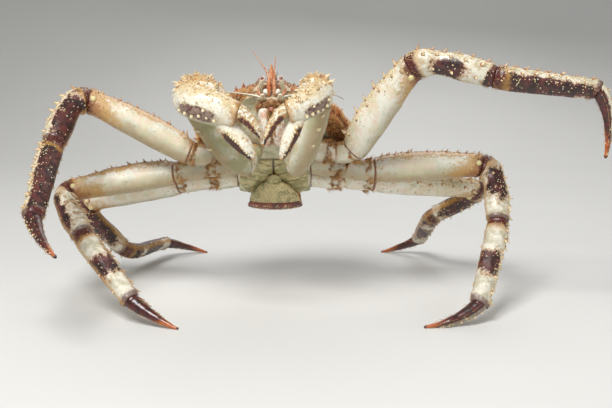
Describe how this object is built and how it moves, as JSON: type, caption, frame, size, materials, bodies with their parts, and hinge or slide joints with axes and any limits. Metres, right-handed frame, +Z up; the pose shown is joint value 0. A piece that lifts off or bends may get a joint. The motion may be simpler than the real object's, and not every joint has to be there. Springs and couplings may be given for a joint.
{
  "type": "red king crab",
  "caption": "Life-size still model of a red king crab reared up on its jointed walking legs, claws folded below its stalked eyes, one front leg raised.",
  "frame": {"origin": "the floor point below the middle of the bounding box", "axes": "+X to the crab's own left, -Y ahead of it, +Z up from the floor that its feet stand on"},
  "size_m": [0.662, 0.4941, 0.3186],
  "materials": {
    "shell_back": "red-brown spiny shell, satin",
    "shell_pale": "cream shell of the underside, satin",
    "shell_dark": "dark maroon shell, satin",
    "claw_tip": "dark horny tip",
    "mouth": "brown bristly mouthparts",
    "feeler": "orange-red feelers",
    "eye": "glossy eye"
  },
  "bodies": {
    "root": {"abdomen_flap": "shell_pale", "abdomen_turn": "shell_back", "antenna_left": "shell_pale", "antenna_right": "shell_pale", "antennule_left": "feeler", "antennule_right": "feeler", "carapace": "shell_back", "claw_left_base": "shell_pale", "claw_left_carpus": "shell_back", "claw_left_finger": "shell_pale", "claw_left_merus": "shell_pale", "claw_left_palm": "shell_pale", "claw_right_base": "shell_pale", "claw_right_carpus": "shell_back", "claw_right_finger": "shell_pale", "claw_right_merus": "shell_pale", "claw_right_palm": "shell_pale", "eye_left": "eye", "eye_right": "eye", "eyestalk_left": "shell_pale", "eyestalk_right": "shell_pale", "jaw_foot_left": "shell_pale", "jaw_foot_right": "shell_pale", "leg_1_left_base": "shell_pale", "leg_1_left_carpus": "shell_dark", "leg_1_left_dactyl": "claw_tip", "leg_1_left_merus": "shell_pale", "leg_1_left_propodus": "shell_dark", "leg_1_right_base": "shell_pale", "leg_1_right_carpus": "shell_dark", "leg_1_right_dactyl": "claw_tip", "leg_1_right_merus": "shell_pale", "leg_1_right_propodus": "shell_dark", "leg_2_left_base": "shell_pale", "leg_2_left_carpus": "shell_dark", "leg_2_left_dactyl": "claw_tip", "leg_2_left_merus": "shell_pale", "leg_2_left_propodus": "shell_dark", "leg_2_right_base": "shell_pale", "leg_2_right_carpus": "shell_dark", "leg_2_right_dactyl": "claw_tip", "leg_2_right_merus": "shell_pale", "leg_2_right_propodus": "shell_dark", "leg_3_left_base": "shell_pale", "leg_3_left_carpus": "shell_dark", "leg_3_left_dactyl": "claw_tip", "leg_3_left_merus": "shell_pale", "leg_3_left_propodus": "shell_dark", "leg_3_right_base": "shell_pale", "leg_3_right_carpus": "shell_dark", "leg_3_right_dactyl": "claw_tip", "leg_3_right_merus": "shell_pale", "leg_3_right_propodus": "shell_dark", "mouthparts": "mouth", "rostrum": "shell_back", "sternum": "shell_pale", "telson": "shell_pale", "thorax": "shell_pale"}
  },
  "joints": []
}
